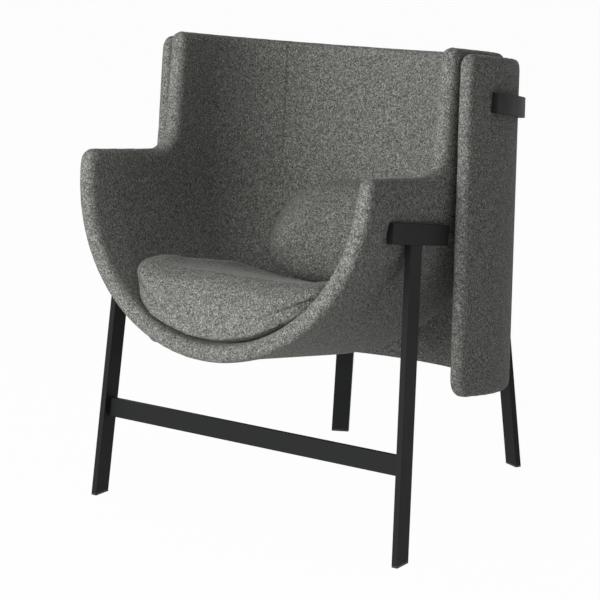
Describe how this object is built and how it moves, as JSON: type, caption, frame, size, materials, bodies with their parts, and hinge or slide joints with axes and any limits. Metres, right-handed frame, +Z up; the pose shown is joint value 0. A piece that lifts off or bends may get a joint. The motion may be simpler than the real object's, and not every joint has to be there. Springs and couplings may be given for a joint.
{
  "type": "lounge chair",
  "caption": "Upholstered tub armchair with a felt cape wrapped round its back, loose seat and lumbar cushions, on a flat-bar steel frame.",
  "frame": {"origin": "on the floor, under the middle of the chair's bounding box", "axes": "+Z up, -Y out of the open front, +X to the right of someone facing the chair's front"},
  "size_m": [0.7292, 0.7546, 0.8748],
  "materials": {
    "felt": "grey melange wool felt",
    "steel": "matte black powder coat",
    "glide": "matte",
    "core_board": "raw",
    "foam": "open-cell foam",
    "fixing_steel": "zinc plated"
  },
  "bodies": {
    "frame": {"tub_inner_pad": "felt", "tub_outer_cover": "felt", "cape_outer_cover": "felt", "cape_inner_cover": "felt", "front_leg_left": "steel", "front_leg_right": "steel", "front_bracket_left": "steel", "front_bracket_right": "steel", "front_stretcher": "steel", "rear_leg_left": "steel", "rear_leg_right": "steel", "rear_hoop": "steel", "foot_glide_front_left": "glide", "foot_glide_front_right": "glide", "foot_glide_rear_left": "glide", "foot_glide_rear_right": "glide", "tub_core": "core_board", "cape_core": "core_board", "bracket_studs": "fixing_steel", "bracket_bushes": "fixing_steel", "bracket_nuts": "fixing_steel", "hoop_studs": "fixing_steel", "hoop_bushes": "fixing_steel", "hoop_nuts": "fixing_steel"},
    "seat": {"seat_cushion": "felt", "seat_foam": "foam"},
    "lumbar": {"lumbar_cushion": "felt", "lumbar_foam": "foam"}
  },
  "joints": [
    {"name": "seat_pull_out", "type": "slide", "parent": "frame", "child": "seat", "axis": [0, -0.9866, 0.1633], "range_m": [0, 0.45]},
    {"name": "lumbar_lift_out", "type": "slide", "parent": "frame", "child": "lumbar", "axis": [0, -0.342, 0.9397], "range_m": [0, 0.4]}
  ]
}
